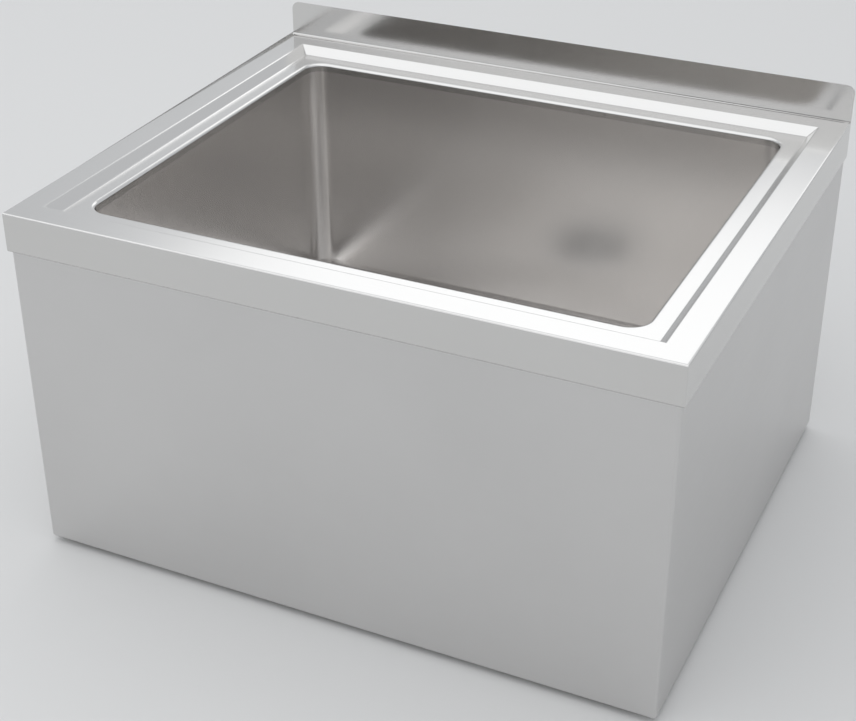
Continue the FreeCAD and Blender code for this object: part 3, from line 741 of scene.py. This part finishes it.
COUPLING_FLATS = 0.058
COUPLING_BORE = 0.0237
COUPLING_PASSAGE = 0.0201
COUPLING_LIP = 0.002

polished = sheet_steel(
    "polished_steel", colour=(0.7, 0.7, 0.7), roughness=0.15, grain=(200, 200, 200), cloud=0.02
)
finish_nodes(polished, "strainer_body", "basket", "basket_knob")
rubber = moulded("black_rubber", colour=(0.02, 0.02, 0.02), roughness=0.6)
finish_nodes(rubber, "flange_gasket", "under_washer", "tail_washer", "basket_stopper")
fibre = moulded("slip_ring_fibre", colour=(0.45, 0.3, 0.16), roughness=0.8, grain=400)
finish_nodes(fibre, "slip_ring")
cast_zinc = sheet_steel(
    "cast_zinc", colour=(0.4, 0.4, 0.41), roughness=0.45, grain=(250, 250, 250), cloud=0.12
)
finish_nodes(cast_zinc, "ring_nut")
white_plastic = moulded("white_plastic", colour=(0.75, 0.75, 0.72), roughness=0.35)
finish_nodes(white_plastic, "tailpiece")

foot, top = levels_of("coupling_nut")
shoulder = foot + COUPLING_LIP
bore = [
    (COUPLING_BORE, top),
    (COUPLING_BORE, shoulder),
    (COUPLING_PASSAGE, shoulder),
    (COUPLING_PASSAGE, foot),
]
coupling = hexagonal("coupling_hexagon", (0, 0), foot, top, COUPLING_FLATS, bore)
even_shading(coupling)
give_finish(coupling, white_plastic)
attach(coupling, "sink")
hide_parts("coupling_nut")


# Sound pads: grey butyl sheet with an embossed grid, pressed on to the bowl's two long walls.
# They stick by their own tack.

PAD_CORNER = 0.012
PAD_MARGIN = 0.006
EMBOSSED_SQUARE = 0.012
EMBOSSED_GROOVE = 0.0014
EMBOSSED_DEPTH = 0.0005

butyl = moulded("butyl_pad", colour=(0.09, 0.09, 0.1), roughness=0.7, grain=260)
for side, outwards in (("front", -1), ("rear", 1)):
    low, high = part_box(f"sound_pad_{side}")
    skin, back = (low.y, high.y) if outwards < 0 else (high.y, low.y)
    level = (low.z + high.z) / 2
    length, height = high.x - low.x, high.z - low.z
    grid_length, grid_height = length - PAD_MARGIN * 2, height - PAD_MARGIN * 2
    facing = (math.radians(-90 * outwards), 0, 0)
    deselect_all()
    bpy.ops.mesh.primitive_grid_add(
        x_subdivisions=round(grid_length / EMBOSSED_SQUARE),
        y_subdivisions=round(grid_height / EMBOSSED_SQUARE),
        size=1,
        location=(0, skin, level),
        rotation=facing,
    )
    pad = bpy.context.object
    pad.name = f"embossed_pad_{side}"
    pad.scale = (grid_length, grid_height, 1)
    bpy.ops.object.transform_apply(location=True, rotation=True, scale=True)
    bpy.ops.object.mode_set(mode="EDIT")
    bpy.ops.mesh.select_mode(type="FACE")
    bpy.ops.mesh.select_all(action="SELECT")
    bpy.ops.mesh.inset(use_individual=True, thickness=EMBOSSED_GROOVE, depth=-EMBOSSED_DEPTH)
    bpy.ops.mesh.select_all(action="DESELECT")
    bpy.ops.mesh.primitive_plane_add(size=1, location=(0, skin, level), rotation=facing)
    bpy.ops.transform.resize(value=(length, 1, height), center_override=(0, skin, level))
    cut_corners(PAD_CORNER)
    pick(pad, "FACE", lambda face: face.calc_area() > length * height / 2)
    bpy.ops.mesh.delete(type="ONLY_FACE")
    pick(pad, "EDGE", lambda edge: edge.is_boundary or edge.is_wire)
    bpy.ops.mesh.fill(use_beauty=True)
    pick(pad, "EDGE", lambda edge: edge.is_boundary)
    pull(y=back - skin)
    bpy.ops.mesh.edge_face_add()
    weld_points()
    bpy.ops.object.mode_set(mode="OBJECT")
    even_shading(pad)
    give_finish(pad, butyl)
    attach(pad, "sink")
    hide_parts(f"sound_pad_{side}")
